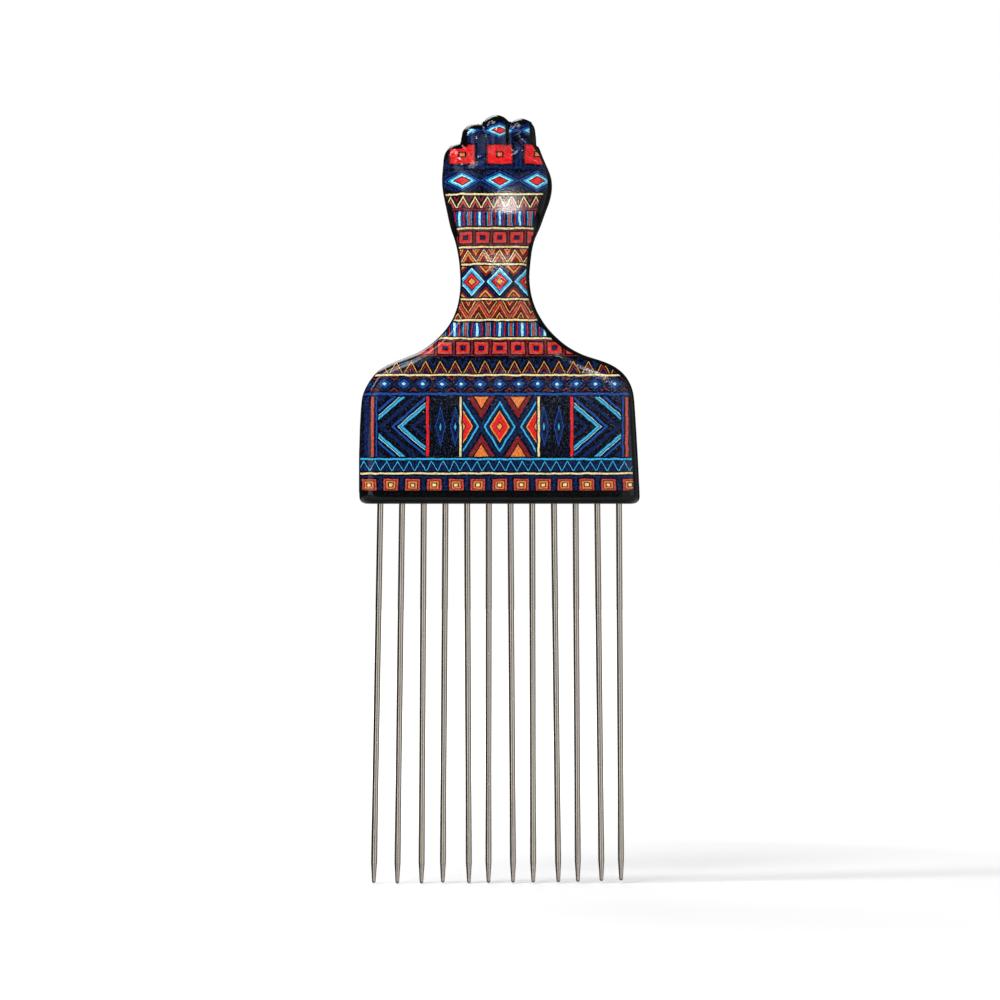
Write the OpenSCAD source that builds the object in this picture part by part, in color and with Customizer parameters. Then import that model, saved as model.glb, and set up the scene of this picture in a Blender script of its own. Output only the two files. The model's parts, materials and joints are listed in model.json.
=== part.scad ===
// Afro pick, also called a hair pick: a comb with twelve long steel tines and a handle in the
// form of a raised fist. It stands upright here, tines down: +Z runs from the tips of the tines
// to the top of the fist, and the printed front, the back of the hand, faces -Y. The origin is on
// the plane of the lowest tip, under the middle of the base.

/* [Base] */
// Height of the base, from its bottom edge up into the slope of its shoulders
base_h = 33; // [28:0.5:40]
// Thickness of the base
base_t = 8.6; // [7.6:0.1:12]
// Distance from the outermost tine to the side of the base
base_side = 4.9; // [4.5:0.1:9]
// Radius of the base's bottom corners, seen from the front
corner_r = 1.6; // [0.8:0.1:3]
// Rounding of the base's long edges
edge_r = 3.2; // [2.4:0.1:3.6]
// Rounding of the base's bottom edges
foot_r = 1.5; // [0.6:0.1:2.5]

/* [Neck] */
// Height of the neck, from the shoulders to the wrist
neck_h = 28; // [22:0.5:40]
// Width of the neck at its narrowest
neck_w = 15.9; // [13:0.1:20]
// Thickness of the neck
neck_t = 11; // [10:0.1:14]

/* [Fist] */
// Height of the fist, from the wrist to the highest knuckle
fist_h = 28.5; // [24:0.5:36]
// Width of the fist
fist_w = 25.5; // [22:0.1:32]
// Thickness of the fist without its knuckles and fingers
fist_t = 14; // [12:0.1:18]
// How far the knuckles stand out of the back of the hand
knuckle_out = 1.1; // [0.4:0.1:1.6]
// Rounding of the fist's sides
fist_r = 5.6; // [4:0.1:7]
// Depth of the creases between the knuckles
crease_deep = 0.8; // [0.3:0.1:1]
// How far the curled fingers stand out of the palm side
finger_out = 1.7; // [0.8:0.1:2.4]
// Thickness of the thumb
thumb_d = 6; // [4.5:0.1:7]
// How far the thumb stands out of the palm side
thumb_out = 2.4; // [1.6:0.1:3]

/* [Shells] */
// Wall of the two half shells
wall = 2; // [1.6:0.1:2.4]
// Height of the straight band on each side of the seam
seam_band = 0.6; // [0.3:0.1:1]
// Diameter of the pins that locate the shells
pin_d = 2.2; // [1.6:0.1:2.6]
// Diameter of the bosses that carry the pins and their sockets
boss_d = 4.6; // [4:0.1:6]
// How far a pin reaches over the seam
pin_reach = 1.8; // [1.2:0.1:2]
// Clearance round a pin in its socket
pin_fit = 0.05; // [0.02:0.01:0.1]

/* [Tines] */
// Number of tines
tine_count = 12; // [12]
// Distance between neighbouring tines
tine_pitch = 5; // [4.6:0.1:6]
// Diameter of a tine
tine_d = 1.4; // [1:0.1:1.8]
// Free length of the longest tine
tine_l = 87.5; // [60:0.5:110]
// Length of a tine inside its carrier
root_l = 9; // [6:0.5:10]
// Length of the taper at the tip
taper_l = 4.8; // [3:0.1:8]
// Diameter of the rounded tip
tip_d = 0.86; // [0.6:0.02:1]
// Greatest lean of a tine, in degrees
tine_lean = 1; // [0:0.1:1.2]
// How much higher the highest tip lies than the lowest
tip_rise = 0.7; // [0:0.1:0.9]
// Clearance round a tine in its carrier
tine_fit = 0.02; // [0.01:0.01:0.05]
// Clearance round a tine where it leaves the shells
notch_fit = 0.1; // [0.05:0.01:0.2]

/* [Carrier] */
// Height of the block that carries the tines
block_h = 12; // [11:0.5:16]
// Length of the block past the outermost tine's side
block_end = 1; // [0.8:0.1:1.4]
// Clearance between the block and each shell
block_fit = 0.05; // [0.02:0.01:0.1]

/* [Print] */
// Thickness of the printed film
print_t = 0.25; // [0.15:0.05:0.4]
// Gap that the film's glue fills
glue_t = 0.03; // [0.02:0.01:0.05]
// Height of the film's lower edge above the bottom of the base
print_foot = 1.9; // [1.7:0.1:4]

/* [Hidden] */

tine_span = (tine_count - 1) * tine_pitch;
base_w = tine_span + 2 * base_side;
handle_h = base_h + neck_h + fist_h;
wrist_h = base_h + neck_h;
block_t = base_t - 2 * wall - 2 * block_fit;
block_w = tine_span + tine_d + 2 * block_end;
overrun = tine_d / 2;
round_fn = 48;

// Outline of the handle, one list for each edge and zone: how far up the zone, and how far out,
// as shares of the zone's height and of half its width
base_left_shares = [[0, 1], [0.36, 1], [0.66, 0.987], [0.73, 0.982], [0.785, 0.964],
    [0.865, 0.919], [0.93, 0.864], [0.99, 0.755]];
base_right_shares = [[0, 1], [0.36, 0.982], [0.66, 0.963], [0.73, 0.958], [0.785, 0.949],
    [0.865, 0.916], [0.93, 0.86], [0.99, 0.76]];
neck_left_shares = [[0.04, 2.53], [0.136, 1.98], [0.236, 1.6], [0.334, 1.37], [0.45, 1.21],
    [0.63, 1.13], [0.8, 1.165], [0.96, 1.265]];
neck_right_shares = [[0.04, 2.48], [0.136, 1.87], [0.236, 1.48], [0.334, 1.22], [0.43, 1.04],
    [0.53, 0.925], [0.68, 0.862], [0.83, 0.905], [0.96, 0.97]];
fist_left_shares = [[0.09, 0.89], [0.22, 0.953], [0.35, 1.014], [0.446, 1.044], [0.543, 1.03],
    [0.64, 1.005], [0.705, 0.957], [0.738, 0.905], [0.758, 0.82], [0.778, 0.725],
    [0.802, 0.674], [0.85, 0.658], [0.882, 0.628], [0.9, 0.575], [0.915, 0.44], [0.93, 0.3],
    [0.956, 0.262], [0.976, 0.22], [0.99, 0.165], [1, 0.1]];
fist_right_shares = [[0.09, 0.73], [0.22, 0.835], [0.317, 0.914], [0.414, 0.952], [0.48, 0.944],
    [0.543, 0.898], [0.61, 0.832], [0.672, 0.773], [0.738, 0.718], [0.802, 0.668],
    [0.85, 0.638], [0.883, 0.618], [0.914, 0.604], [0.935, 0.583], [0.952, 0.54],
    [0.963, 0.46], [0.969, 0.3], [0.975, 0.14], [0.986, 0.07], [0.994, 0.01], [1, -0.05]];

// Half thickness along the handle, as shares of each zone's height and of its half thickness
base_thick_shares = [[0, 1], [0.92, 1]];
neck_thick_shares = [[0.3, 0.95], [0.6, 1], [0.85, 1]];
fist_thick_shares = [[0.08, 0.88], [0.3, 0.98], [0.55, 1], [0.85, 0.95], [1, 0.72]];

// Knuckles of the little, ring, middle and index fingers: place across and up, as shares of half
// the fist's width and of its height
knuckle_shares = [[-0.83, 0.7], [-0.48, 0.82], [-0.06, 0.92], [0.34, 0.9]];
// How far across and up a knuckle spreads, as shares of half the fist's width
knuckle_spread_share = 0.2;
// Creases between the knuckles and beside the thumb: upper end, then lower end
crease_shares = [[-0.68, 0.8, -0.64, 0.55], [-0.28, 0.94, -0.26, 0.64], [0.15, 0.97, 0.15, 0.7],
    [0.4, 0.82, 0.89, 0.56]];
crease_spread_share = 0.065;
// Curled fingers on the palm side: place across, and half of a finger's width
finger_shares = [-0.72, -0.3, 0.12, 0.54];
finger_half_share = 0.21;
// Lower and upper ends of the curled fingers, as shares of the fist's height
finger_from_share = 0.42;
finger_to_share = 0.9;
// How far a finger's lower end slopes, to each side of the place where it starts
finger_end_share = 0.08;
// Thumb, from its root to its tip, then the ball of the thumb and the heel of the hand
thumb_shares = [[0.8, 0.3], [0.46, 0.45], [-0.12, 0.52]];
palm_shares = [[0.42, 0.18], [-0.42, 0.24]];
palm_out_share = 0.55;
palm_spread_share = 0.34;
// How steep the sides of fingers and thumb are: 0.5 is a half circle, more is softer
ridge_share = 0.7;
// How far the relief reaches below the wrist, as a share of the fist's height
relief_drop_share = 0.25;

// Lean of each tine as a share of the greatest, positive to the right, and the rise of its tip
lean_shares = [-1, -0.72, -0.34, -0.4, 0.27, -0.05, 0.39, 0.15, 0.67, 0.35, 0.64, 0.32];
rise_shares = [0.16, 0, 0.04, 0.28, 0.1, 0.2, 0.28, 0.26, 0.4, 0.52, 0.8, 1];

// Pins between the shells, as shares of half the base's width and of the handle's height
shell_pin_shares = [[-0.68, 0.25], [0.68, 0.25], [-0.03, 0.56], [-0.02, 0.79]];
// Pins that go through the block, counted in tine pitches from the middle
block_pin_shares = [-4, 4];

// Columns of points across the front, and points on each side of them
column_count = 24;
side_points = 5;
// How wide the finely divided side of a ring is at most, as a share of the ring's width
side_width_share = 0.17;
// Height from which the columns go straight up, as a share of the fist's height
straight_share = 0.68;
// Places of the hollow's points across it, from its side to its middle, as shares
hollow_side_shares = [0, 0.02, 0.07, 0.16, 0.3, 0.5];
// Top of the hollow, as a share of the fist's height
hollow_top_share = 0.6;
// How full the rounded sides are: 2 is an ellipse, more is squarer
fullness = 2.3;
// Counts of rings in the corner, the sides, the shoulders, the neck, the hollow and the solid
// part of the fist, and its knuckles
corner_rings = 4;
side_rings = 5;
shoulder_rings = 14;
neck_rings = 11;
fist_rings = 15;
solid_rings = 5;
knuckle_rings = 14;
// Counts of rings of the hollow in the sides, the shoulders and the neck
hollow_side_rings = 3;
hollow_shoulder_rings = 8;
hollow_neck_rings = 9;
// Rings to each side of a point that are searched for the nearest part of the outline
search_rings = 12;
// Heights at which the ring spacing changes, as shares of their zone's height
side_top_share = 0.72;
shoulder_top_share = 0.14;
knuckle_foot_share = 0.77;
// First and last rings and points that the film covers, counted from the ends
film_first_ring = corner_rings + 1;
film_last_rings = 4;
film_left_points = 2;
film_right_points = 3;

// Slope at an inner point of a table, which never overshoots its neighbours
function chord(t, i) = (t[i + 1][1] - t[i][1]) / (t[i + 1][0] - t[i][0]);
function soft_mean(a, b) = a * b <= 0 ? 0 : 2 * a * b / (a + b);
function slope(t, i) =
    i == 0 ? chord(t, 0) :
    i == len(t) - 1 ? chord(t, i - 1) :
    soft_mean(chord(t, i - 1), chord(t, i));
function span_at(t, v, i = 0) = i >= len(t) - 2 || v < t[i + 1][0] ? i : span_at(t, v, i + 1);
function ease(t, i, w, u) =
    (1 + 2 * u) * (1 - u) * (1 - u) * t[i][1] + u * (1 - u) * (1 - u) * w * slope(t, i)
    + u * u * (3 - 2 * u) * t[i + 1][1] + u * u * (u - 1) * w * slope(t, i + 1);
// Smooth curve through a table of [place, value], read at a place
function curve(t, v) =
    let (i = span_at(t, v), w = t[i + 1][0] - t[i][0], u = max(0, min(1, (v - t[i][0]) / w)))
    ease(t, i, w, u);

function zoned(base_shares, neck_shares, fist_shares, sizes) = concat(
    [for (s = base_shares) [s[0] * base_h, s[1] * sizes[0] / 2]],
    [for (s = neck_shares) [base_h + s[0] * neck_h, s[1] * sizes[1] / 2]],
    [for (s = fist_shares) [wrist_h + s[0] * fist_h, s[1] * sizes[2] / 2]]);
widths = [base_w, neck_w, fist_w];
left_table = zoned(base_left_shares, neck_left_shares, fist_left_shares, widths);
right_table = zoned(base_right_shares, neck_right_shares, fist_right_shares, widths);
thick_table = zoned(base_thick_shares, neck_thick_shares, fist_thick_shares,
    [base_t, neck_t, fist_t]);

function backwards(list) = [for (i = [len(list) - 1 : -1 : 0]) list[i]];
// How far the bottom corner draws the outline in at a height
function arc_drop(r, v) = v >= r ? 0 : r - sqrt(r * r - (r - v) * (r - v));
function left_at(h) = -curve(left_table, h) + arc_drop(corner_r, h);
function right_at(h) = curve(right_table, h) - arc_drop(corner_r, h);
function half_thick(h) = curve(thick_table, h);

// Heights of the rings above the handle's bottom edge
side_top = side_top_share * base_h;
shoulder_top = base_h + shoulder_top_share * neck_h;
knuckle_foot = wrist_h + knuckle_foot_share * fist_h;
hollow_top = wrist_h + hollow_top_share * fist_h;
function steps(from, to, count) = [for (i = [1 : count]) from + (to - from) * i / count];
ring_heights = concat(
    [for (i = [0 : corner_rings]) corner_r * (1 - cos(90 * i / corner_rings))],
    [print_foot],
    steps(print_foot, side_top, side_rings),
    steps(side_top, shoulder_top, shoulder_rings),
    steps(shoulder_top, wrist_h, neck_rings),
    steps(wrist_h, hollow_top, fist_rings),
    steps(hollow_top, knuckle_foot, solid_rings),
    steps(knuckle_foot, handle_h, knuckle_rings));
hollow_heights = concat([wall],
    steps(wall, side_top, hollow_side_rings),
    steps(side_top, shoulder_top, hollow_shoulder_rings),
    steps(shoulder_top, hollow_top, hollow_neck_rings));

left_edge = [for (h = ring_heights) [left_at(h), h]];
right_edge = [for (h = ring_heights) [right_at(h), h]];
ring_count = len(ring_heights);

// Distance from a point to the outline, which is searched a few rings up and down from it
function to_segment(p, a, b) =
    let (ab = b - a, u = max(0, min(1, (p - a) * ab / (ab * ab))))
    norm(p - a - u * ab);
function inset(p, ring) = min(
    [for (i = [max(0, ring - search_rings) : min(ring_count - 2, ring + search_rings)])
        min(to_segment(p, left_edge[i], left_edge[i + 1]),
            to_segment(p, right_edge[i], right_edge[i + 1]))]);
function ring_near(h, i = 0) = i >= ring_count - 1 || ring_heights[i] >= h ? i : ring_near(h, i + 1);

// Half depth of a slab with rounded sides at a distance from its outline
function rounded(depth, r, gap) =
    gap >= r ? depth : depth * pow(1 - pow(1 - max(0, gap) / r, fullness), 1 / fullness);
round_table = [[0, edge_r], [base_h, edge_r], [base_h + neck_h / 2, neck_t / 2],
    [wrist_h, neck_t / 2], [wrist_h + fist_h / 2, fist_r], [handle_h, fist_r]];

// Place on the fist as shares of half its width and of its height
function on_fist(x, h) = [2 * x / fist_w, (h - wrist_h) / fist_h];
// The same with both in shares of half the width, to measure distances
function even(s) = [s[0], s[1] * 2 * fist_h / fist_w];
function bell(v) = exp(-v * v);
function knuckles(p) = knuckle_out * max(
    [for (k = knuckle_shares) bell(norm(even(p) - even(k)) / knuckle_spread_share)]);
function crease(p, c) =
    let (a = even([c[0], c[1]]), b = even([c[2], c[3]]), q = even(p), ab = b - a,
         u = max(0, min(1, (q - a) * ab / (ab * ab))))
    (1 - u) * bell(norm(q - a - u * ab) / crease_spread_share);
function creases(p) = crease_deep * max([for (c = crease_shares) crease(p, c)]);
function front_relief(p) = knuckles(p) - creases(p);

// Rounded ridge, from 1 on its crest to 0 at its foot
function ridge(v) = pow(max(0, 1 - v * v), ridge_share);
function finger(p, place) = ridge((p[0] - place) / finger_half_share);
function rise_in(v, from, to) = let (u = max(0, min(1, (v - from) / (to - from)))) u * u * (3 - 2 * u);
function fingers(p) = finger_out
    * rise_in(p[1], finger_from_share - finger_end_share, finger_from_share + finger_end_share)
    * (1 - rise_in(p[1], finger_to_share, 1))
    * max([for (f = finger_shares) finger(p, f)]);
function thumb(p) =
    let (r = thumb_d / fist_w,
         gap = min([for (i = [0 : 1]) to_segment(even(p), even(thumb_shares[i]),
             even(thumb_shares[i + 1]))]))
    thumb_out * ridge(gap / r);
function palm(p) = palm_out_share * finger_out
    * max([for (k = palm_shares) bell(norm(even(p) - even(k)) / palm_spread_share)]);
function back_relief(p) = max(fingers(p), thumb(p), palm(p));

// Relief fades to nothing at the outline, over the rounding of the base's edges
function relief(x, h, gap, palm_side) = h < wrist_h - relief_drop_share * fist_h ? 0
    : min(1, gap / edge_r) * (palm_side ? back_relief(on_fist(x, h)) : front_relief(on_fist(x, h)));

// Half depth of the outside and of the hollow
function outside(x, h, ring, palm_side) =
    let (gap = inset([x, h], ring), t = half_thick(h))
    max(seam_band, min(rounded(t, curve(round_table, h), gap), t - arc_drop(foot_r, h)))
    + relief(x, h, gap, palm_side);
function hollow(x, h) =
    let (gap = inset([x, h], ring_near(h)) - wall, t = half_thick(h) - wall)
    max(seam_band / 2, rounded(t, curve(round_table, h) - wall, gap));

// How much wider a distance across the outline is when it is measured along a ring
function widen(table, h) =
    let (e = corner_r / 8, s = (curve(table, h + e) - curve(table, h - e)) / (2 * e))
    sqrt(1 + s * s);
function column_sides(h) =
    let (a = left_at(h), b = right_at(h), most = side_width_share * (b - a))
    [a + min(most, edge_r * widen(left_table, h)), b - min(most, edge_r * widen(right_table, h))];
straight_h = wrist_h + straight_share * fist_h;
function columns(h) =
    let (ends = column_sides(min(h, straight_h)))
    [for (k = [0 : column_count - 1]) ends[0] + (ends[1] - ends[0]) * k / (column_count - 1)];
// Points from a side to the first column inside the outline, closer together near the side
function side_places(side, inner, count) =
    [for (j = [0 : count - 1]) side + (inner - side) * (1 - cos(90 * j / count))];
// Places across a ring: a column that lies outside the outline joins the points on its side
function ring_places(h) =
    let (a = left_at(h), b = right_at(h), xs = columns(h), margin = min(seam_band, (b - a) / 8),
         inside = [for (k = [0 : column_count - 1]) if (xs[k] > a + margin && xs[k] < b - margin) k],
         narrow = len(inside) == 0,
         first = narrow ? floor(column_count / 2) : inside[0],
         last = narrow ? first : inside[len(inside) - 1],
         first_x = narrow ? (a + b) / 2 : xs[first],
         last_x = narrow ? first_x : xs[last])
    concat([a], side_places(a, first_x, first + side_points - 1),
        [for (k = [first : last]) narrow ? first_x : xs[k]],
        backwards(side_places(b, last_x, column_count - 1 - last + side_points - 1)), [b]);
function hollow_places(h) =
    let (a = left_at(h) + wall * widen(left_table, h), b = right_at(h) - wall * widen(right_table, h))
    concat([a], [for (s = hollow_side_shares) a + s * (b - a)],
        [for (i = [len(hollow_side_shares) - 2 : -1 : 0]) b - hollow_side_shares[i] * (b - a)], [b]);

function outer_ring(i, palm_side) =
    let (h = ring_heights[i], xs = ring_places(h), last = len(xs) - 1)
    [for (j = [0 : last]) [xs[j], j == 0 || j == last ? 0 : -outside(xs[j], h, i, palm_side), h]];
function hollow_ring(i) =
    let (h = hollow_heights[i], xs = hollow_places(h), last = len(xs) - 1)
    [for (j = [0 : last]) [xs[j], j == 0 || j == last ? 0 : -hollow(xs[j], h), h]];

// Faces of a grid of points: rings of the same length, one above the other
function grid_faces(start, rings, points, turned) =
    [for (i = [0 : rings - 2], j = [0 : points - 2], k = [0 : 1])
        let (a = start + i * points + j, b = a + points, f = k == 0 ? [a, b, b + 1] : [a, b + 1, a + 1])
        turned ? [f[2], f[1], f[0]] : f];
function column(start, rings, points, j) = [for (i = [0 : rings - 1]) start + i * points + j];
function flat(lists) = [for (l = lists, p = l) p];
// Flat end of a grid: a fan from the first point of its ring
function fan(start, points, turned) =
    [for (j = [1 : points - 2])
        turned ? [start, start + j + 1, start + j] : [start, start + j, start + j + 1]];
// Flat strip between two columns of points, left and right, that climb at their own steps
function zip(left, right, left_h, right_h, i = 0, k = 0) =
    i == len(left) - 1 && k == len(right) - 1 ? [] :
    k == len(right) - 1 || (i < len(left) - 1 && left_h[i + 1] <= right_h[k + 1])
        ? concat([[left[i], right[k], left[i + 1]]], zip(left, right, left_h, right_h, i + 1, k))
        : concat([[left[i], right[k], right[k + 1]]], zip(left, right, left_h, right_h, i, k + 1));
// The seam over the hollow: its first strip also meets the two upper corners of the hollow
function seam_over(m, n, from, corner_a, corner_b) = concat(
    [for (f = [[from * m, corner_a], [corner_a, corner_b], [corner_b, from * m + m - 1]])
        [f[0], f[1], from * m + m]],
    [[from * m + m - 1, from * m + 2 * m - 1, from * m + m]],
    [for (i = [from + 1 : n - 2], k = [0 : 1])
        k == 0 ? [i * m, i * m + m - 1, i * m + m] : [i * m + m - 1, i * m + 2 * m - 1, i * m + m]]);

// One half of the handle without its pins: the outside, the hollow, and the seam between them
module half_skin(palm_side) {
    outer = [for (i = [0 : ring_count - 1]) outer_ring(i, palm_side)];
    inner = [for (i = [0 : len(hollow_heights) - 1]) hollow_ring(i)];
    m = len(outer[0]);
    n = ring_count;
    k = len(inner[0]);
    c = len(inner);
    s = n * m;
    top = n - 1 - solid_rings - knuckle_rings;
    polyhedron(flat(concat(outer, inner)), concat(
        grid_faces(0, n, m, false),
        grid_faces(s, c, k, true),
        zip(column(0, top + 1, m, 0), column(s, c, k, 0), ring_heights, hollow_heights),
        zip(column(s, c, k, k - 1), column(0, top + 1, m, m - 1), hollow_heights, ring_heights),
        [[0, m - 1, s], [m - 1, s + k - 1, s]],
        seam_over(m, n, top, s + (c - 1) * k, s + c * k - 1),
        fan(0, m, false),
        fan(s - m, m, true),
        fan(s, k, true),
        fan(s + (c - 1) * k, k, false)), convexity = 6);
}

function tine_x(i) = (i - (tine_count - 1) / 2) * tine_pitch;
function pin_x(s) = s[0] * base_w / 2;
function pin_h(s) = s[1] * handle_h;
// Depth at which a boss or pin is rooted: half way into the wall behind it
function root_depth(h) = half_thick(h) - wall / 2;

module across(x, h, from, to, d) {
    translate([x, from, h]) rotate([-90, 0, 0]) cylinder(h = to - from, d = d, $fn = round_fn);
}

module tine_notches() {
    for (i = [0 : tine_count - 1])
        translate([tine_x(i), 0, -overrun])
            cylinder(h = wall + 2 * overrun, d = tine_d + 2 * notch_fit, $fn = round_fn);
}

// Front half shell, with the pins that locate the block and the back shell
module front_shell() {
    color("#14161c") translate([0, 0, tine_l]) difference() {
        union() {
            half_skin(false);
            for (s = shell_pin_shares) {
                across(pin_x(s), pin_h(s), -root_depth(pin_h(s)), 0, boss_d);
                across(pin_x(s), pin_h(s), -root_depth(pin_h(s)), pin_reach, pin_d);
            }
            for (s = block_pin_shares)
                across(s * tine_pitch, wall + block_h / 2, -root_depth(wall), block_t / 2, pin_d);
        }
        tine_notches();
    }
}

// Back half shell, with the bosses and sockets for the front shell's pins
module back_shell() {
    color("#14161c") translate([0, 0, tine_l]) difference() {
        union() {
            mirror([0, 1, 0]) half_skin(true);
            for (s = shell_pin_shares) across(pin_x(s), pin_h(s), 0, root_depth(pin_h(s)), boss_d);
        }
        for (s = shell_pin_shares)
            across(pin_x(s), pin_h(s), -overrun, pin_reach + 2 * pin_fit, pin_d + 2 * pin_fit);
        tine_notches();
    }
}

module leaning(i) {
    translate([tine_x(i), 0, tine_l]) rotate([0, -tine_lean * lean_shares[i], 0]) children();
}

// Carrier of the tines: a bar with round ends, a bore for each tine and holes for two pins
module tine_block() {
    end_r = block_t / 2;
    color("#d8d4c8") difference() {
        translate([0, 0, tine_l + wall]) linear_extrude(block_h) {
            square([block_w - 2 * end_r, block_t], center = true);
            for (side = [-1, 1])
                translate([side * (block_w / 2 - end_r), 0]) circle(end_r, $fn = round_fn);
        }
        for (i = [0 : tine_count - 1])
            leaning(i) translate([0, 0, -overrun])
                cylinder(h = wall + root_l + overrun, d = tine_d + 2 * tine_fit, $fn = round_fn);
        for (s = block_pin_shares)
            across(s * tine_pitch, tine_l + wall + block_h / 2, -base_t / 2, base_t / 2,
                pin_d + 2 * pin_fit);
    }
}

// One tine: a straight shank that tapers to a rounded tip
module tine(i) {
    rise = tip_rise * rise_shares[i];
    free_l = (tine_l - rise) / cos(tine_lean * lean_shares[i]);
    tip_r = tip_d / 2;
    color("#a9a39a") leaning(i) rotate_extrude($fn = round_fn) polygon(concat(
        [[0, wall + root_l - tine_fit], [tine_d / 2, wall + root_l - tine_fit],
            [tine_d / 2, taper_l - free_l]],
        [for (a = [0 : 15 : 90]) [tip_r * cos(a), tip_r - free_l - tip_r * sin(a)]]));
}

// Printed film on the front shell: the same grid of points, moved out by the glue and the film
module front_print() {
    rings = [film_first_ring : ring_count - 1 - film_last_rings];
    last = len(ring_places(0)) - 1 - film_right_points;
    skin = [for (i = rings) let (r = outer_ring(i, false)) [for (j = [film_left_points : last]) r[j]]];
    n = len(skin);
    m = len(skin[0]);
    s = n * m;
    points = concat([for (p = flat(skin)) p - [0, glue_t + print_t, 0]],
        [for (p = flat(skin)) p - [0, glue_t, 0]]);
    // Walls round the film, as strips between its outer and inner points
    bottom = [for (j = [0 : m - 1]) j];
    right = column(0, n, m, m - 1);
    top = [for (j = [m - 1 : -1 : 0]) (n - 1) * m + j];
    left = backwards(column(0, n, m, 0));
    color("#16295a") translate([0, 0, tine_l]) polyhedron(points, concat(
        grid_faces(0, n, m, false),
        grid_faces(s, n, m, true),
        [for (side = [bottom, right, top, left], i = [0 : len(side) - 2], k = [0 : 1])
            k == 0 ? [side[i], side[i + 1], side[i + 1] + s] : [side[i], side[i + 1] + s, side[i] + s]]),
        convexity = 6);
}

front_shell();
back_shell();
tine_block();
front_print();
tine(0);  // tine_01
tine(1);  // tine_02
tine(2);  // tine_03
tine(3);  // tine_04
tine(4);  // tine_05
tine(5);  // tine_06
tine(6);  // tine_07
tine(7);  // tine_08
tine(8);  // tine_09
tine(9);  // tine_10
tine(10);  // tine_11
tine(11);  // tine_12
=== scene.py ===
import json
import math

import bpy
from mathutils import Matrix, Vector

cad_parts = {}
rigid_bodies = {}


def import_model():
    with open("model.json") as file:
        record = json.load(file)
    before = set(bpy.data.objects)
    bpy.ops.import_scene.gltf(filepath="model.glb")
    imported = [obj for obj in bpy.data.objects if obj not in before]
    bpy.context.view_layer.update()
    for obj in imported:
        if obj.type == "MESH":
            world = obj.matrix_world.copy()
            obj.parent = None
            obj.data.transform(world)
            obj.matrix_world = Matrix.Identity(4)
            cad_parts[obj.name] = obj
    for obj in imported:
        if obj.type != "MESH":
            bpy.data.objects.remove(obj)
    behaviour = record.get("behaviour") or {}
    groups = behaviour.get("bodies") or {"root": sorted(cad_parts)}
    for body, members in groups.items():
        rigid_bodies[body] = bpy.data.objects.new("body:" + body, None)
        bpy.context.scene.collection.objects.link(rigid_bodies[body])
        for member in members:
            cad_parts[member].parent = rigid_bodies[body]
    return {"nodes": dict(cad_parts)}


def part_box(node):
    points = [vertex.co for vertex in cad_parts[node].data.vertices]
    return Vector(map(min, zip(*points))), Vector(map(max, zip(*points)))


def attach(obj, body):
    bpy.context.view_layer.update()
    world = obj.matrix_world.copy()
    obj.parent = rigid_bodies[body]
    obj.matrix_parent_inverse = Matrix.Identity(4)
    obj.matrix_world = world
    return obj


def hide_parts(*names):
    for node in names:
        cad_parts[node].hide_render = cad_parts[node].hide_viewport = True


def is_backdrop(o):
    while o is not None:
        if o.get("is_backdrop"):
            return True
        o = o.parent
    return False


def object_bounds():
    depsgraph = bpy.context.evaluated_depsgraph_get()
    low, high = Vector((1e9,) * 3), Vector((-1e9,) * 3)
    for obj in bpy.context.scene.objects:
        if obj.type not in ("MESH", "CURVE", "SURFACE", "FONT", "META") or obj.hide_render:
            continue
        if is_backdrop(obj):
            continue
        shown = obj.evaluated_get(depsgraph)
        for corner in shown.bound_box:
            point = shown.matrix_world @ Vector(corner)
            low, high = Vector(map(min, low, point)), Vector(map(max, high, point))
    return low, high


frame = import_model()
cad_low, cad_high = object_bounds()
bpy.ops.object.select_all(action="DESELECT")


# Tine carrier: a bar of natural nylon inside the base, bored for the twelve tines before the
# shells close round it. Only its material is set here, because no view sees it.
def linear(code):
    """An sRGB hex colour as linear red, green and blue."""
    parts = [int(code[i:i + 2], 16) / 255 for i in (1, 3, 5)]
    return [c / 12.92 if c <= 0.04045 else ((c + 0.055) / 1.055) ** 2.4 for c in parts] + [1.0]


def add(tree, kind, links=None, **settings):
    """Adds a node; links maps an input's name or number to a value or another node's output."""
    node = tree.nodes.new(kind)
    for name, value in settings.items():
        setattr(node, name, value)
    for key, value in (links or {}).items():
        if isinstance(value, bpy.types.NodeSocket):
            tree.links.new(value, node.inputs[key])
        else:
            node.inputs[key].default_value = value
    return node


def surface(name):
    """A new material with its node tree, its shader, and each point's place on the piece."""
    material = bpy.data.materials.new(name)
    material.use_nodes = True
    tree = material.node_tree
    place = add(tree, "ShaderNodeTexCoord").outputs["Object"]
    return material, tree, tree.nodes["Principled BSDF"], place


# Natural nylon as moulded: to the eye a milky off-white with a dull skin and faint flow marks
nylon, tree, shader, place = surface("nylon_natural_moulded")
# Flow marks about 2 mm apart
flow = add(tree, "ShaderNodeTexNoise", {"Vector": place, "Scale": 500.0, "Detail": 3.0})
tint = add(tree, "ShaderNodeMix", {"Factor": flow.outputs["Fac"], "A": linear("#D6D1C4"),
                                   "B": linear("#E2DED3")}, data_type="RGBA")
tree.links.new(tint.outputs["Result"], shader.inputs["Base Color"])
shader.inputs["Roughness"].default_value = 0.48
shader.inputs["IOR"].default_value = 1.53
carrier = frame["nodes"]["tine_block"]
carrier.data.materials.clear()
carrier.data.materials.append(nylon)


# Tines: drawn stainless wire 1.4 mm thick, cut, ground to a taper, rounded at the tip and tumbled
# bright. Their roots sit in the carrier's bores.
steel, tree, shader, place = surface("stainless_wire_drawn")
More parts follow.
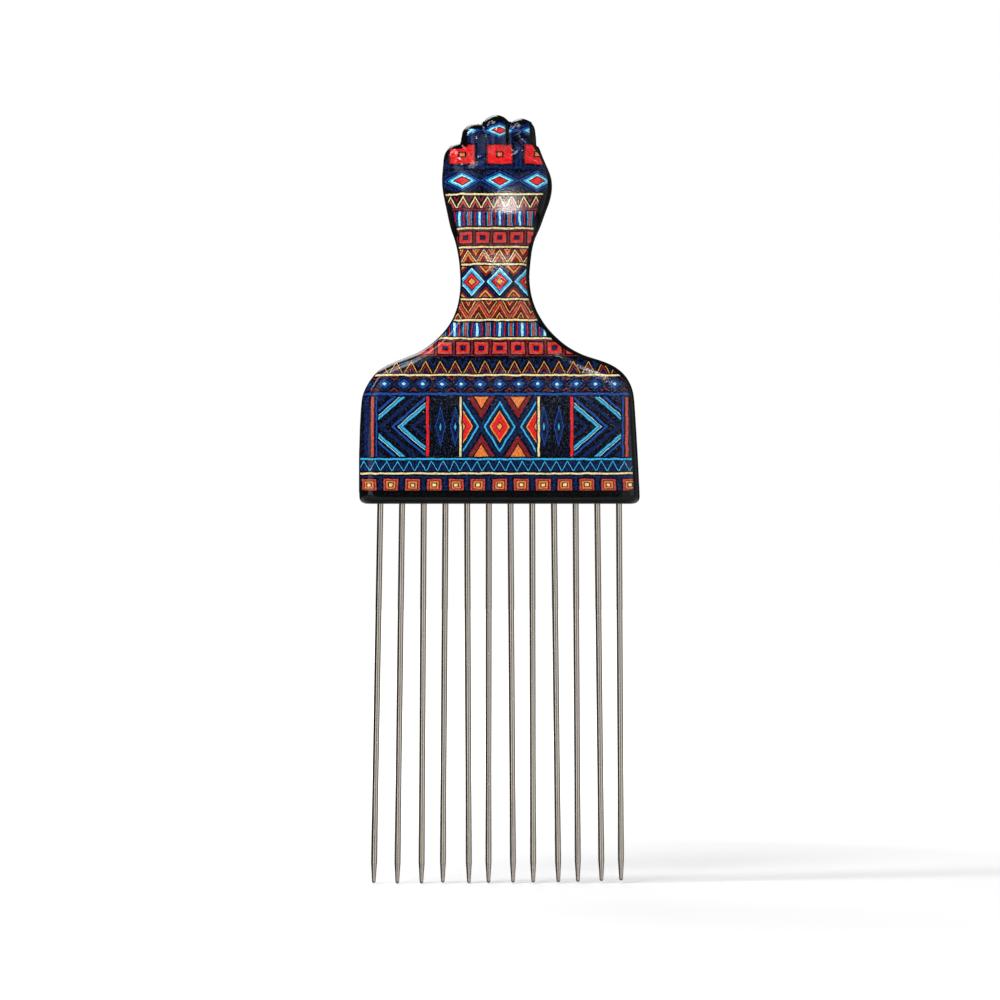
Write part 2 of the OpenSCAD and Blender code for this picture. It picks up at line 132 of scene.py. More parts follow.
# Drawn steel is a warm grey mirror to the eye, its reflections pulled out into faint streaks.
# Drawing lines 0.25 mm apart across the wire and some 30 mm long; finer ones would not show.
drawn = add(tree, "ShaderNodeMapping", {"Vector": place, "Scale": (4000.0, 4000.0, 33.0)})
lines = add(tree, "ShaderNodeTexNoise", {"Vector": drawn.outputs[0], "Scale": 1.0, "Detail": 3.0,
                                         "Roughness": 0.6})
# Soft smears a few millimetres long, where tumbling wore the wire unevenly
smears = add(tree, "ShaderNodeTexNoise", {"Vector": place, "Scale": 220.0, "Detail": 2.0})
tone = add(tree, "ShaderNodeMix", {"Factor": lines.outputs["Fac"], "A": linear("#B4A99D"),
                                   "B": linear("#DDD6CC")}, data_type="RGBA")
tree.links.new(tone.outputs["Result"], shader.inputs["Base Color"])
worn = add(tree, "ShaderNodeMapRange", {"Value": smears.outputs["Fac"], "From Min": 0.3,
                                        "From Max": 0.7, "To Min": 0.07, "To Max": 0.13})
tree.links.new(worn.outputs["Result"], shader.inputs["Roughness"])
dent = add(tree, "ShaderNodeBump", {"Height": lines.outputs["Fac"], "Strength": 0.08,
                                    "Distance": 0.0001})
tree.links.new(dent.outputs["Normal"], shader.inputs["Normal"])
shader.inputs["Metallic"].default_value = 1.0
for number in range(1, 13):
    tine = frame["nodes"][f"tine_{number:02d}"]
    tine.data.materials.clear()
    tine.data.materials.append(steel)


# Half shells: black ABS mouldings with a high gloss, closed round the carrier and cemented along
# the seam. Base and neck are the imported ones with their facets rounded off, and the fist is built
# up in clay. Both halves are sawn from that one body.
black, tree, shader, place = surface("abs_black_gloss_moulded")
# Gloss ABS is a deep black to the eye, in which only the lamps show, with wavering edges
jet = linear("#060709")
shader.inputs["Base Color"].default_value = jet
shader.inputs["IOR"].default_value = 1.53
shader.inputs["Specular IOR Level"].default_value = 0.35
# Sink of the moulded skin, in waves some 3 mm long, and wear scuffs under 1 mm
waves = add(tree, "ShaderNodeTexNoise", {"Vector": place, "Scale": 330.0, "Detail": 1.0})
scuffs = add(tree, "ShaderNodeTexNoise", {"Vector": place, "Scale": 1400.0, "Detail": 4.0})
worn = add(tree, "ShaderNodeMapRange", {"Value": scuffs.outputs["Fac"], "From Min": 0.4,
                                        "From Max": 0.75, "To Min": 0.08, "To Max": 0.2})
tree.links.new(worn.outputs["Result"], shader.inputs["Roughness"])
dent = add(tree, "ShaderNodeBump", {"Height": waves.outputs["Fac"], "Strength": 0.05,
                                    "Distance": 0.001})
tree.links.new(dent.outputs["Normal"], shader.inputs["Normal"])
# Edges that turn by more than this stay sharp
corner = math.radians(40)


def choose(*objects):
    """Selects these objects alone, and makes the first of them the active one."""
    bpy.ops.object.select_all(action="DESELECT")
    for item in objects:
        item.select_set(True)
    bpy.context.view_layer.objects.active = objects[0]


def modify(piece, kind, **settings):
    """Gives the active piece a modifier with these settings and applies it."""
    step = piece.modifiers.new(kind, kind)
    for name, value in settings.items():
        setattr(step, name, value)
    bpy.ops.object.modifier_apply(modifier=step.name)


def rounded_copy(node, name):
    """A copy of a packed moulding with its doubles merged and its facets rounded off."""
    mesh = frame["nodes"][node].data.copy()
    piece = bpy.data.objects.new(name, mesh)
    bpy.context.scene.collection.objects.link(piece)
    choose(piece)
    bpy.ops.object.mode_set(mode="EDIT")
    bpy.ops.mesh.customdata_custom_splitnormals_clear()
    bpy.ops.mesh.select_all(action="SELECT")
    bpy.ops.mesh.remove_doubles(threshold=0.000001)
    bpy.ops.mesh.tris_convert_to_quads(face_threshold=math.radians(30),
                                       shape_threshold=math.radians(60))
    bpy.ops.mesh.select_all(action="DESELECT")
    bpy.ops.mesh.select_mode(type="EDGE")
    bpy.ops.mesh.edges_select_sharp(sharpness=corner)
    bpy.ops.transform.edge_crease(value=1.0)
    bpy.ops.object.mode_set(mode="OBJECT")
    modify(piece, "SUBSURF", levels=2, render_levels=2)
    bpy.ops.object.shade_smooth_by_angle(angle=corner)
    mesh.materials.clear()
    return piece


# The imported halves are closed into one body. To make room for the clay, the top of the fist is sawn
# off along a slope, and the palm 6.2 mm behind the seam.
body = rounded_copy("front_shell", "handle_body")
half = rounded_copy("back_shell", "handle_half")
choose(body, half)
bpy.ops.object.join()
bpy.ops.object.mode_set(mode="EDIT")
cuts = {"top_of_fist": ((-0.0136, 0, 0.1612), (-0.37, 0, 0.93)),
        "palm": ((0, 0.0062, 0), (0, 1, 0))}
for spot, outwards in cuts.values():
    bpy.ops.mesh.select_all(action="SELECT")
    bpy.ops.mesh.bisect(plane_co=spot, plane_no=outwards, use_fill=True, clear_outer=True)
bpy.ops.object.mode_set(mode="OBJECT")

# Clay for the hand: each finger is a roll from the back of the hand over its knuckle and middle
# joint to its tip in the palm, and the web is a thin fold of skin beside the index finger. Points
# are in millimetres: x, y, z and the roll's radius.
rolls = {
    "little": [(-7.9, -2.2, 155.6, 3.9), (-9.35, -2.4, 161.4, 3.95), (-9.3, -3.5, 166.5, 3.65),
               (-9.3, 3.6, 166.4, 3.3), (-8.9, 5.0, 159.0, 2.9), (-8.2, 2.6, 156.8, 2.9)],
    "ring": [(-4.4, -2.2, 157.5, 3.4), (-5.4, -3.9, 171.3, 3.4), (-5.2, 4.3, 170.6, 3.3),
             (-4.2, 5.4, 160.0, 3.0), (-3.9, 2.4, 158.0, 2.8)],
    "middle": [(-0.4, -2.3, 158.5, 3.4), (-0.75, -4.0, 173.45, 3.45), (-0.1, 4.6, 172.4, 3.4),
               (0.9, 5.5, 160.6, 3.1), (0.9, 2.6, 158.4, 2.9)],
    "index": [(4.6, -2.1, 159.0, 3.4), (5.0, -3.7, 172.85, 3.25), (5.2, 4.3, 171.6, 3.3),
              (6.0, 5.3, 161.0, 3.1), (5.6, 2.6, 158.8, 2.9)],
    "thumb": [(4.2, 2.9, 151.8, 3.7), (8.5, 4.8, 160.0, 3.3), (4.4, 7.9, 163.4, 2.95),
              (-2.2, 8.2, 162.8, 2.6)],
    "web": [(4.9, -7.1, 171.2, 0.9), (7.4, -6.9, 168.8, 0.9), (8.9, -5.7, 166.8, 0.9),
            (9.9, -4.0, 164.8, 0.9)],
}
clay = [body]
for joints in rolls.values():
    for here, after in zip(joints, joints[1:] + [None]):
        at = Vector(here[:3]) / 1000
        bpy.ops.mesh.primitive_uv_sphere_add(segments=32, ring_count=16, radius=here[3] / 1000,
                                             location=at)
        clay.append(bpy.context.object)
        if after:
            way = Vector(after[:3]) / 1000 - at
            bpy.ops.mesh.primitive_cone_add(vertices=32, radius1=here[3] / 1000,
                                            radius2=after[3] / 1000, depth=way.length,
                                            location=at + way / 2,
                                            rotation=way.to_track_quat("Z", "Y").to_euler())
            clay.append(bpy.context.object)
# Lumps of clay for the rest of the hand: place and half sizes, in millimetres
lumps = {
    "ball_of_thumb": (4.2, 2.9, 153.4, 4.8, 4.6, 6.4),
    "heel_of_hand": (-5.2, 2.7, 154.4, 5.6, 4.4, 6.8),
    "core_left": (-6.4, 0.6, 161.4, 6.4, 4.4, 6.0),
    "core_right": (3.0, 1.0, 162.0, 6.6, 4.2, 8.0),
    "edge_of_hand": (-8.8, 0.8, 161.4, 3.7, 6.4, 6.6),
    "back_of_hand": (-0.8, -3.5, 161.5, 11.6, 4.1, 9.8),
}
for x, y, z, half_x, half_y, half_z in lumps.values():
    bpy.ops.mesh.primitive_uv_sphere_add(segments=32, ring_count=16, radius=0.001,
                                         location=(x / 1000, y / 1000, z / 1000),
                                         scale=(half_x, half_y, half_z))
    clay.append(bpy.context.object)
choose(*clay)
bpy.ops.object.join()
modify(body, "REMESH", mode="VOXEL", voxel_size=0.00035)

# The hand is marked for more smoothing, which fades in over 8 mm above the wrist
wrist = 0.150
hand = body.vertex_groups.new(name="hand")
for vertex in body.data.vertices:
    share = min(1.0, max(0.0, (vertex.co.z - wrist) / 0.008))
    if share:
        hand.add([vertex.index], share, "REPLACE")
# The back of the hand is filled out to a shallow crown. In millimetres, it stands 8.9 in front of
# the seam at its middle, curves as a ball of radius 70 does, and rolls down to 5.7 at the wrist. It
# reaches 5 to either side there, and widens to 8.5.
wrist_front, crown_rise, crown_radius = 5.7, 3.2, 70
crown_x, crown_z, crown_foot, crown_top = 0.7, 152, 145.5, 167
# The crown adds 3 mm at most, and fades out over as much towards its borders
most = 3
crown = body.vertex_groups.new(name="crown")
for vertex in body.data.vertices:
    x, y, z = vertex.co * 1000
    roll = min(1.0, max(0.0, (z - crown_foot) / 8))
    fall = ((x - crown_x) ** 2 / (2 * crown_radius), (z - crown_z) ** 2 / (2 * crown_radius))
    front = wrist_front + (crown_rise - fall[0] - fall[1]) * roll * roll * (3 - 2 * roll)
    half_width = min(8.5, 5 + (z - 146) / 2)
    fade = min(1.0, (half_width + most - abs(x)) / most, (-y - 1) / most, (crown_top - z) / most)
    if fade > 0 and front + y > 0:
        crown.add([vertex.index], min(1.0, (front + y) / most * fade), "REPLACE")
modify(body, "DISPLACE", direction="Y", strength=-most / 1000, mid_level=0.0, vertex_group="crown")
# The whole skin is smoothed a little, the hand more, and the crown most
for rounds, group in ((3, ""), (12, "hand"), (40, "crown")):
    modify(body, "SMOOTH", factor=0.5, iterations=rounds, vertex_group=group)

# The edges of the halves are broken where they meet: a groove 0.14 mm deep and 0.8 mm wide
groove_half = 0.0004
seam = body.vertex_groups.new(name="seam")
for vertex in body.data.vertices:
    if abs(vertex.co.y) < groove_half:
        seam.add([vertex.index], 1 - abs(vertex.co.y) / groove_half, "REPLACE")
modify(body, "DISPLACE", strength=-0.00014, mid_level=0.0, vertex_group="seam")

# Sawn into halves, which stop half a thousandth of a millimetre short of the seam
for node, side in (("front_shell", -1), ("back_shell", 1)):
    shell = body.copy()
    shell.data = body.data.copy()
    shell.name = node + "_moulding"
    bpy.context.scene.collection.objects.link(shell)
    choose(shell)
    bpy.ops.object.mode_set(mode="EDIT")
    bpy.ops.mesh.select_all(action="SELECT")
    bpy.ops.mesh.bisect(plane_co=(0, side * 0.0000005, 0), plane_no=(0, -side, 0), use_fill=True,
                        clear_outer=True)
    bpy.ops.object.mode_set(mode="OBJECT")
    bpy.ops.object.shade_smooth_by_angle(angle=corner)
    shell.data.materials.clear()
    shell.data.materials.append(black)
    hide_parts(node)
    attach(shell, "root")
bpy.data.objects.remove(body)


# Printed film: a polyester sheet 0.25 mm thick, printed on its back in bright inks on navy, formed
# over the front shell and bonded to it, then coated clear. Its rim is inked as black as the
# moulding that shows all round it.
film = rounded_copy("front_print", "front_print_film")
bpy.ops.object.mode_set(mode="EDIT")
bpy.ops.mesh.select_all(action="DESELECT")
bpy.ops.mesh.select_mode(type="FACE")
bpy.ops.object.mode_set(mode="OBJECT")
# Its printed face alone is kept, and held 30 mm in front of the moulding
for face in film.data.polygons:
    face.select = face.normal.y > -0.05
bpy.ops.object.mode_set(mode="EDIT")
bpy.ops.mesh.delete(type="FACE")
bpy.ops.mesh.select_mode(type="VERT")
bpy.ops.mesh.select_all(action="SELECT")
bpy.ops.transform.translate(value=(0, -0.03, 0))
bpy.ops.mesh.select_all(action="DESELECT")
bpy.ops.object.mode_set(mode="OBJECT")
# It is pressed on twice, with 0.03 mm of adhesive. What misses the moulding stays out in front and
# is trimmed off, and after the first time the trimmed edge is evened out.
missed_beyond = -0.012
for first_time in (True, False):
    modify(film, "SHRINKWRAP", target=bpy.data.objects["front_shell_moulding"],
           wrap_method="PROJECT", use_project_y=True, use_negative_direction=True,
           wrap_mode="OUTSIDE_SURFACE", offset=0.00003)
    for vertex in film.data.vertices:
        vertex.select = vertex.co.y < missed_beyond
    bpy.ops.object.mode_set(mode="EDIT")
    bpy.ops.mesh.delete(type="VERT")
    if first_time:
        bpy.ops.mesh.select_non_manifold(extend=False)
        bpy.ops.mesh.vertices_smooth(factor=0.5, repeat=6)
        bpy.ops.mesh.select_all(action="DESELECT")
    bpy.ops.object.mode_set(mode="OBJECT")
# Each point keeps how far it lies inside the black rim, or inside the painted shade between the
# fingers, as how far its normal turns past a limit.
# Heights are in millimetres from the foot of the base, up to which the tines stand free.
foot = round(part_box("front_shell")[0].z * 1000, 1)
neck_low, neck_high, fist_low, knuckles_low = 18.5, 64.5, 68, 78
outside = -1.0
bpy.ops.object.mode_set(mode="EDIT")
bpy.ops.mesh.select_non_manifold(extend=False)
bpy.ops.mesh.select_more()
bpy.ops.object.mode_set(mode="OBJECT")
rim_and_groove_shade = film.data.attributes.new("rim_and_groove_shade", "FLOAT", "POINT")
for vertex in film.data.vertices:
    height = vertex.co.z * 1000 - foot
    turn = vertex.normal
    at_edge = 0.1 if vertex.select else outside
    steep = turn.y + 0.48
    # The rim is wider along the right, apart from the neck and the fist
    neck = min(1.0, (height - neck_low) / 7, (neck_high - height) / 6)
    fist = min(1.0, (height - fist_low) / 6)
    right = turn.x - 0.5 - 0.5 * max(0.0, neck, fist)
    # And it takes in the knuckles' tops and flanks. On the outer flanks the black is the print's
    # edge;
    # between the fingers it is painted shade in the grooves.
    tops = turn.z - 0.58 if height > knuckles_low else outside
    flanks_and_groove_shade = abs(turn.x) - 0.52 - max(0.0, (knuckles_low + 3 - height) / 9)
    rim_and_groove_shade.data[vertex.index].value = max(at_edge, steep, right, tops, flanks_and_groove_shade)
modify(film, "SOLIDIFY", thickness=0.00025, offset=1.0)
bpy.ops.object.shade_smooth_by_angle(angle=corner)

ink, tree, shader, place = surface("polyester_film_printed")
# Film printed on its back: to the eye bright flat inks under a clear gloss. The pattern is ruled in
# millimetres, with the height counted from the foot of the base.
rule = add(tree, "ShaderNodeMapping", {"Vector": place, "Location": (0.0, 0.0, -foot),
                                       "Scale": (1000.0, 1000.0, 1000.0)})
# The printed lines waver by 0.2 mm, as hand-cut figures do
waver = add(tree, "ShaderNodeTexNoise", {"Vector": rule.outputs[0], "Scale": 0.45, "Detail": 2.0})
centred = add(tree, "ShaderNodeVectorMath", {0: waver.outputs["Color"], 1: (-0.5, -0.5, -0.5)},
              operation="ADD")
moved = add(tree, "ShaderNodeVectorMath", {0: centred.outputs[0], 1: (0.55, 0.55, 0.55),
                                           2: rule.outputs[0]}, operation="MULTIPLY_ADD")
axes = add(tree, "ShaderNodeSeparateXYZ", {0: moved.outputs[0]})
across, up = axes.outputs["X"], axes.outputs["Z"]
aside = add(tree, "ShaderNodeMath", {0: across}, operation="ABSOLUTE").outputs[0]
inks = {"black": "#020307", "navy": "#0A1A46", "blue": "#18469A", "cyan": "#35A9D8",
        "ice": "#A5E6F2", "red": "#DC1F1B", "maroon": "#7C1B18", "salmon": "#BE4736",
        "orange": "#DE7A34", "gold": "#DCA244", "wheat": "#EBD69C"}


def figure(kind, low, high, repeat, stops):
    """One band of figures between two heights, repeated across. Its measure runs from 0 to 1 over
    a figure, and each ink starts at its own stop."""
    middle, half = (low + high) / 2, (high - low) / 2
    beside = add(tree, "ShaderNodeMath", {0: across, 1: repeat / 2}, operation="PINGPONG")
    beside = add(tree, "ShaderNodeMath", {0: beside.outputs[0], 1: repeat / 2}, operation="DIVIDE")
    above = add(tree, "ShaderNodeMapRange", {"Value": up, "From Min": middle,
                                             "From Max": middle + half}, clamp=False)
    level = add(tree, "ShaderNodeMath", {0: above.outputs[0]}, operation="ABSOLUTE")
    slope = add(tree, "ShaderNodeMath", {0: beside.outputs[0], 1: 2.0, 2: above.outputs[0]},
                operation="MULTIPLY_ADD")
    if kind == "diamonds":
        measure = add(tree, "ShaderNodeMath", {0: beside.outputs[0], 1: level.outputs[0]})
        measure = add(tree, "ShaderNodeMath", {0: measure.outputs[0], 1: 0.5},
                      operation="MULTIPLY")
    elif kind == "blocks":
        measure = add(tree, "ShaderNodeMath", {0: beside.outputs[0], 1: level.outputs[0]},
                      operation="MAXIMUM")
    elif kind == "teeth":
        measure = add(tree, "ShaderNodeMapRange", {"Value": slope.outputs[0], "From Min": -1.0,
                                                   "From Max": 3.0})
    elif kind == "zigzag":
        measure = add(tree, "ShaderNodeMath", {0: slope.outputs[0], 1: 0.5}, operation="MULTIPLY")
        measure = add(tree, "ShaderNodeMath", {0: measure.outputs[0]}, operation="FRACT")
    elif kind == "bars":
        measure = beside
    elif kind == "arrows":
        # They point outwards, and lean back by 1.15 mm for each millimetre of height
        measure = add(tree, "ShaderNodeMath", {0: level.outputs[0], 1: half * 1.15, 2: aside},
                      operation="MULTIPLY_ADD")
        measure = add(tree, "ShaderNodeMath", {0: measure.outputs[0], 1: repeat},
                      operation="DIVIDE")
        measure = add(tree, "ShaderNodeMath", {0: measure.outputs[0]}, operation="FRACT")
    else:
        measure = add(tree, "ShaderNodeMath", {0: aside, 1: repeat}, operation="DIVIDE")
    ramp = add(tree, "ShaderNodeValToRGB", {0: measure.outputs[0]})
    ramp.color_ramp.interpolation = "CONSTANT"
    steps = ramp.color_ramp.elements
    steps.remove(steps[1])
    for number, (name, start) in enumerate(stops):
        step = steps[0] if number == 0 else steps.new(start)
        step.position = start
        step.color = linear(inks[name])
    return ramp.outputs["Color"]


# Bands from the bottom of the base to the knuckles: the height where each starts, its figure, the
# width of one repeat, and its inks with their stops. A line has a single ink. Below them is black.
framed_blocks = [("navy", 0), ("black", 0.2), ("red", 0.32), ("salmon", 0.5), ("black", 0.74),
                 ("maroon", 0.9)]
stripes = [("ice", 0), ("black", 0.1), ("blue", 0.16), ("black", 0.32), ("red", 0.4),
           ("black", 0.48), ("navy", 0.54), ("black", 0.7), ("cyan", 0.76), ("black", 0.84),
           ("salmon", 0.9)]
beads = [("red", 0), ("black", 0.18), ("ice", 0.24), ("cyan", 0.3), ("black", 0.38),
         ("blue", 0.44), ("black", 0.5), ("navy", 0.58), ("black", 0.74)]
bands = [
    (2.3, "blocks", 5.0, [("wheat", 0), ("black", 0.16), ("orange", 0.26), ("black", 0.42),
                          ("salmon", 0.5), ("black", 0.66), ("navy", 0.84)]),
    (6.4, "line", 0, "black"),
    (6.8, "line", 0, "wheat"),
    (7.2, "line", 0, "black"),
    (7.6, "teeth", 2.6, [("navy", 0), ("black", 0.34), ("cyan", 0.44), ("black", 0.52),
                         ("navy", 0.62), ("black", 0.86)]),
    (9.9, "line", 0, "black"),
    (10.1, "line", 0, "cyan"),
    (10.5, "line", 0, "black"),
    (10.9, "panels", 0, ""),
    (24.6, "line", 0, "black"),
    (25.0, "line", 0, "blue"),
    (25.5, "line", 0, "black"),
    (25.9, "diamonds", 4.4, [("ice", 0), ("black", 0.12), ("blue", 0.19), ("black", 0.33),
                             ("navy", 0.44), ("black", 0.54), ("maroon", 0.76), ("black", 0.84)]),
    (29.2, "line", 0, "black"),
    (29.4, "line", 0, "wheat"),
    (29.8, "line", 0, "black"),
    (30.1, "teeth", 3.4, [("navy", 0), ("black", 0.14), ("maroon", 0.2), ("black", 0.3),
                          ("gold", 0.4), ("black", 0.45), ("navy", 0.64), ("black", 0.8)]),
    (33.2, "line", 0, "black"),
    (34.0, "blocks", 4.2, framed_blocks),
    (37.6, "line", 0, "black"),
    (37.8, "line", 0, "wheat"),
    (38.2, "line", 0, "black"),
    (38.5, "bars", 5.2, stripes),
    (41.6, "line", 0, "black"),
    (42.0, "line", 0, "wheat"),
    (42.4, "line", 0, "black"),
    (42.6, "zigzag", 4.8, [("maroon", 0), ("black", 0.14), ("orange", 0.22), ("black", 0.36),
                           ("salmon", 0.44), ("maroon", 0.58), ("black", 0.68), ("gold", 0.76),
                           ("black", 0.86)]),
    (46.5, "line", 0, "black"),
    (46.8, "line", 0, "wheat"),
    (47.2, "line", 0, "black"),
    (47.5, "diamonds", 6.4, [("gold", 0), ("black", 0.12), ("red", 0.17), ("black", 0.27),
                             ("cyan", 0.32), ("ice", 0.41), ("black", 0.46), ("navy", 0.52),
                             ("black", 0.6), ("maroon", 0.66), ("gold", 0.76), ("black", 0.83),
                             ("salmon", 0.88)]),
    (54.5, "line", 0, "black"),
    (54.8, "line", 0, "wheat"),
    (55.2, "line", 0, "black"),
    (55.5, "zigzag", 3.6, [("orange", 0), ("black", 0.26), ("wheat", 0.38), ("black", 0.5),
                           ("maroon", 0.6), ("black", 0.88)]),
    (58.4, "line", 0, "black"),
    (58.7, "line", 0, "wheat"),
    (59.1, "line", 0, "black"),
    (59.4, "blocks", 3.9, framed_blocks),
    (62.7, "line", 0, "black"),
    (62.9, "line", 0, "wheat"),
    (63.3, "line", 0, "black"),
    (63.7, "bars", 4.6, stripes),
    (66.9, "line", 0, "black"),
    (67.2, "line", 0, "maroon"),
    (67.6, "line", 0, "black"),
    (67.8, "teeth", 2.8, [("navy", 0), ("black", 0.12), ("salmon", 0.2), ("black", 0.34),
                          ("wheat", 0.43), ("black", 0.52), ("maroon", 0.74), ("black", 0.84)]),
    (70.4, "line", 0, "black"),
    (70.7, "line", 0, "wheat"),
    (71.1, "line", 0, "black"),
    (71.6, "diamonds", 8.6, beads),
    (76.4, "line", 0, "black"),
    (76.8, "blocks", 8.6, [("orange", 0), ("black", 0.12), ("red", 0.2), ("maroon", 0.62),
                           ("black", 0.68), ("navy", 0.8)]),
    (83.4, "line", 0, "navy"),
    (83.8, "diamonds", 8.6, beads),
    (87.4, "line", 0, "black"),
]
ends = [band[0] for band in bands[1:]] + [90.0]
pattern = linear(inks["black"])
for (low, kind, repeat, stops), high in zip(bands, ends):
    if kind == "panels":
        # Arrows at the sides, a quiet lattice, and a column of diamonds in the middle
        arrows = figure("arrows", low, high, 7.4, [
            ("cyan", 0), ("black", 0.1), ("ice", 0.14), ("black", 0.17), ("blue", 0.28),
            ("black", 0.37), ("navy", 0.6), ("black", 0.76)])
        column = figure("diamonds", low, high, 8.4, [
            ("gold", 0), ("black", 0.06), ("red", 0.09), ("gold", 0.24), ("black", 0.27),
            ("navy", 0.31), ("cyan", 0.38), ("black", 0.43), ("navy", 0.48), ("black", 0.56),
            ("maroon", 0.64), ("black", 0.76), ("orange", 0.8)])
        lattice = figure("diamonds", low, high, 3.4, [
            ("cyan", 0), ("black", 0.07), ("navy", 0.16), ("blue", 0.3), ("black", 0.34)])
        # Upright lines between the panels, measured out from the middle over 40 mm
        uprights = figure("uprights", low, high, 40.0, [
            ("black", 0), ("wheat", 0.216), ("black", 0.2275), ("red", 0.406), ("black", 0.42),
            ("blue", 0.7), ("black", 0.71), ("salmon", 0.72), ("black", 0.738), ("navy", 0.748),
            ("black", 0.775)])
        paint = column
        # Each starts this far from the middle, in millimetres, and covers the one before
        for reach, panel in ((8.4, uprights), (9.3, lattice), (16.0, uprights), (17.1, arrows),
                             (27.8, uprights)):
            out = add(tree, "ShaderNodeMath", {0: aside, 1: reach}, operation="GREATER_THAN")
            paint = add(tree, "ShaderNodeMix", {"Factor": out.outputs[0], "A": paint, "B": panel},
                        data_type="RGBA").outputs["Result"]
    elif kind == "line":
        paint = linear(inks[stops])
    else:
        paint = figure(kind, low, high, repeat, stops)
    over = add(tree, "ShaderNodeMath", {0: up, 1: low}, operation="GREATER_THAN")
    pattern = add(tree, "ShaderNodeMix", {"Factor": over.outputs[0], "A": pattern, "B": paint},
                  data_type="RGBA").outputs["Result"]

# Dots of the ink-jet, 0.4 mm apart: the inks come out a little uneven, under fine pale blue specks
dots = add(tree, "ShaderNodeTexNoise", {"Vector": rule.outputs[0], "Scale": 2.4, "Detail": 3.0,
                                        "Roughness": 0.75})
grain = add(tree, "ShaderNodeMapRange", {"Value": dots.outputs["Fac"], "From Min": 0.36,
                                         "From Max": 0.64, "To Min": 0.55, "To Max": 1.4})
uneven = add(tree, "ShaderNodeVectorMath", {0: pattern, "Scale": grain.outputs[0]},
             operation="SCALE")
specks = add(tree, "ShaderNodeTexNoise", {"Vector": rule.outputs[0], "Scale": 2.6, "Detail": 2.0})
specks = add(tree, "ShaderNodeMapRange", {"Value": specks.outputs["Fac"], "From Min": 0.5,
                                          "From Max": 0.68})
printed = add(tree, "ShaderNodeMix", {"Factor": specks.outputs[0], "A": uneven.outputs[0],
                                      "B": linear("#232D46")}, data_type="RGBA", blend_type="ADD")
# The black rim goes over the print, and so does the painted shade in the grooves between the fingers
inside = add(tree, "ShaderNodeAttribute", attribute_name="rim_and_groove_shade")
inside = add(tree, "ShaderNodeMapRange", {"Value": inside.outputs["Fac"], "From Min": 0.0,
                                          "From Max": 0.05})
rimmed_and_shaded = add(tree, "ShaderNodeMix", {"Factor": inside.outputs[0], "A": printed.outputs["Result"],
                                     "B": jet}, data_type="RGBA")
tree.links.new(rimmed_and_shaded.outputs["Result"], shader.inputs["Base Color"])
# Only the clear coat shines: the print under it has no gloss of its own
shader.inputs["Roughness"].default_value = 0.5
shader.inputs["IOR"].default_value = 1.5
shader.inputs["Specular IOR Level"].default_value = 0.0
shader.inputs["Coat Weight"].default_value = 1.0
shader.inputs["Coat IOR"].default_value = 1.4
shader.inputs["Coat Roughness"].default_value = 0.055
# The clear coat dries with a fine orange peel, 0.3 mm from dimple to dimple
peel = add(tree, "ShaderNodeTexNoise", {"Vector": rule.outputs[0], "Scale": 3.0, "Detail": 2.0})
dent = add(tree, "ShaderNodeBump", {"Height": peel.outputs["Fac"], "Strength": 0.4,
                                    "Distance": 0.00006})
tree.links.new(dent.outputs["Normal"], shader.inputs["Coat Normal"])
film.data.materials.append(ink)
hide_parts("front_print")
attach(film, "root")


# Floor: a round of white card, 6 m across, that the tips stand on. The camera sees it as white as
# the backdrop, with the pick's soft shadow. Its satin face shows in the steel and the plastic.
bpy.ops.mesh.primitive_circle_add(vertices=96, radius=3.0, fill_type="NGON", location=(0, 0, 0))
floor = bpy.context.object
floor.name = "studio_floor"
card, tree, shader, place = surface("card_white_satin")
tree.nodes.remove(shader)
away = add(tree, "ShaderNodeVectorMath", {0: place}, operation="LENGTH")
ray = add(tree, "ShaderNodeLightPath")
# Away from the lamps the card is lit to white, so that its edge does not show
paper = add(tree, "ShaderNodeBsdfDiffuse", {"Color": linear("#F4F4F4")})
fill = add(tree, "ShaderNodeMapRange", {"Value": away.outputs["Value"], "From Min": 0.15,
                                        "From Max": 0.5, "To Min": 0.05, "To Max": 1.0})
fill = add(tree, "ShaderNodeMath", {0: fill.outputs[0], 1: ray.outputs["Is Camera Ray"]},
           operation="MULTIPLY")
glow = add(tree, "ShaderNodeEmission", {"Color": linear("#FFFFFF"), "Strength": fill.outputs[0]})
seen = add(tree, "ShaderNodeAddShader", {0: paper.outputs[0], 1: glow.outputs[0]})
# In gloss it is a dim disc a metre across, with a painted shadow that darkens it right under the
# pick. Where a reflection meets it at a shallow angle, from 15 degrees down to 11, its satin face
# mirrors the lamps instead.
# Painted shadow: the disc is dimmest right under the pick, where the pick would shade it
painted_shadow_under_pick = add(tree, "ShaderNodeMapRange", {"Value": away.outputs["Value"], "From Min": 0.05,
                                        "From Max": 0.15, "To Min": 0.2, "To Max": 0.5})
far = add(tree, "ShaderNodeMapRange", {"Value": away.outputs["Value"], "From Min": 0.25,
                                       "From Max": 0.5, "To Min": 1.0, "To Max": 0.0})
disc = add(tree, "ShaderNodeMath", {0: painted_shadow_under_pick.outputs[0], 1: far.outputs[0]}, operation="MULTIPLY")
disc = add(tree, "ShaderNodeEmission", {"Color": linear("#FFFFFF"), "Strength": disc.outputs[0]})
satin = add(tree, "ShaderNodeBsdfGlossy", {"Color": linear("#FFFFFF"), "Roughness": 0.05})
shallow = add(tree, "ShaderNodeLayerWeight", {"Blend": 0.5})
shallow = add(tree, "ShaderNodeMapRange", {"Value": shallow.outputs["Facing"], "From Min": 0.74,
                                           "From Max": 0.81})
mirrored = add(tree, "ShaderNodeMixShader", {0: shallow.outputs[0], 1: disc.outputs[0],
                                             2: satin.outputs[0]})
face = add(tree, "ShaderNodeMixShader", {0: ray.outputs["Is Glossy Ray"], 1: seen.outputs[0],
                                         2: mirrored.outputs[0]})
tree.links.new(face.outputs[0], tree.nodes["Material Output"].inputs["Surface"])
